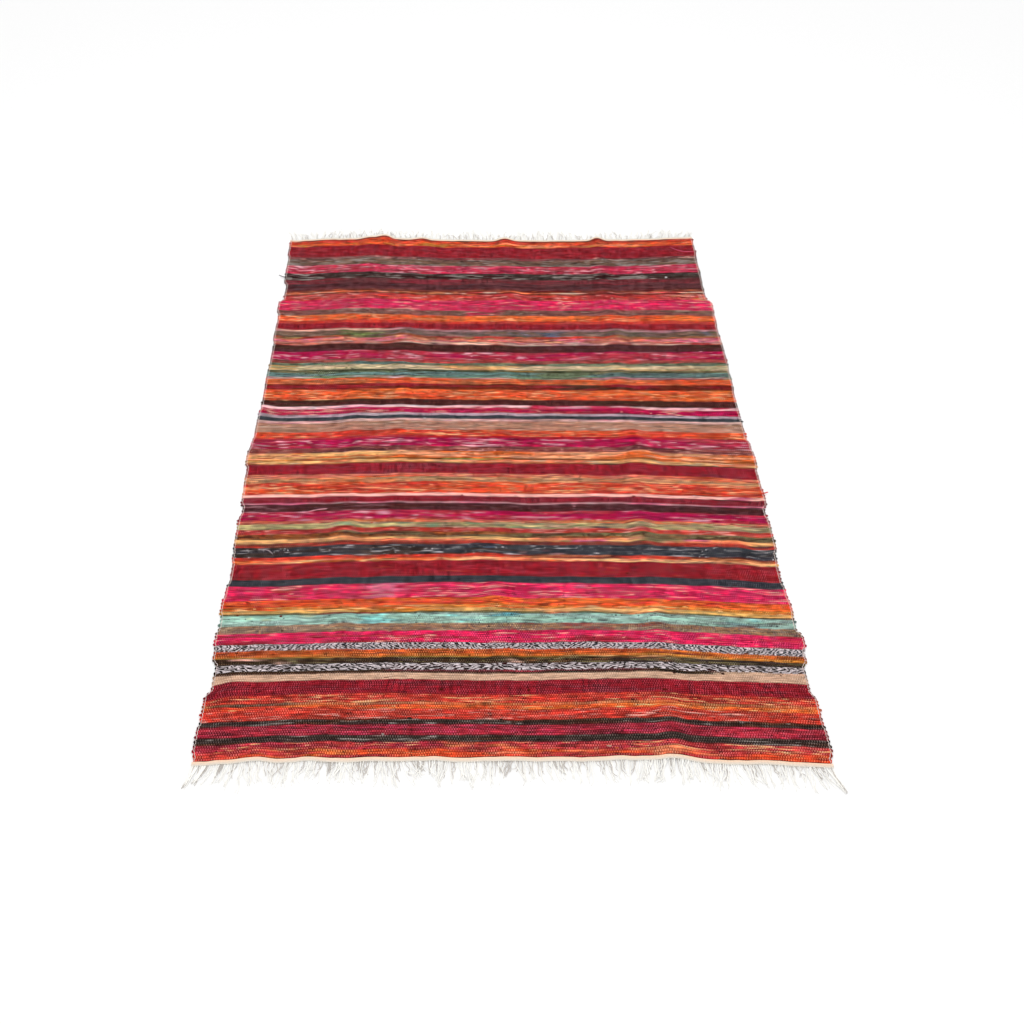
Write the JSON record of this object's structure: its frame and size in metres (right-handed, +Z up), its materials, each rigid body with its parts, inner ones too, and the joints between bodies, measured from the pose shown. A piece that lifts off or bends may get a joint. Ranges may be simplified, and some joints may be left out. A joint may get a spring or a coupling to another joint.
{
  "type": "rag rug",
  "caption": "Flat woven cotton rag rug with uneven cross stripes, soft lengthwise folds, a cream heading and loose warp ends at both ends.",
  "frame": {"origin": "centre of the rug's box on the floor it lies on", "axes": "+X across the rug along its wefts, +Y along the warps towards the far fringe, +Z up"},
  "size_m": [1.432, 2.173, 0.0208],
  "materials": {
    "rag_weave": "matte woven cotton rags in cross stripes",
    "cotton_warp": "matte undyed twisted cotton"
  },
  "bodies": {
    "root": {"woven_field": "rag_weave", "heading_near": "cotton_warp", "heading_far": "cotton_warp"}
  },
  "joints": []
}
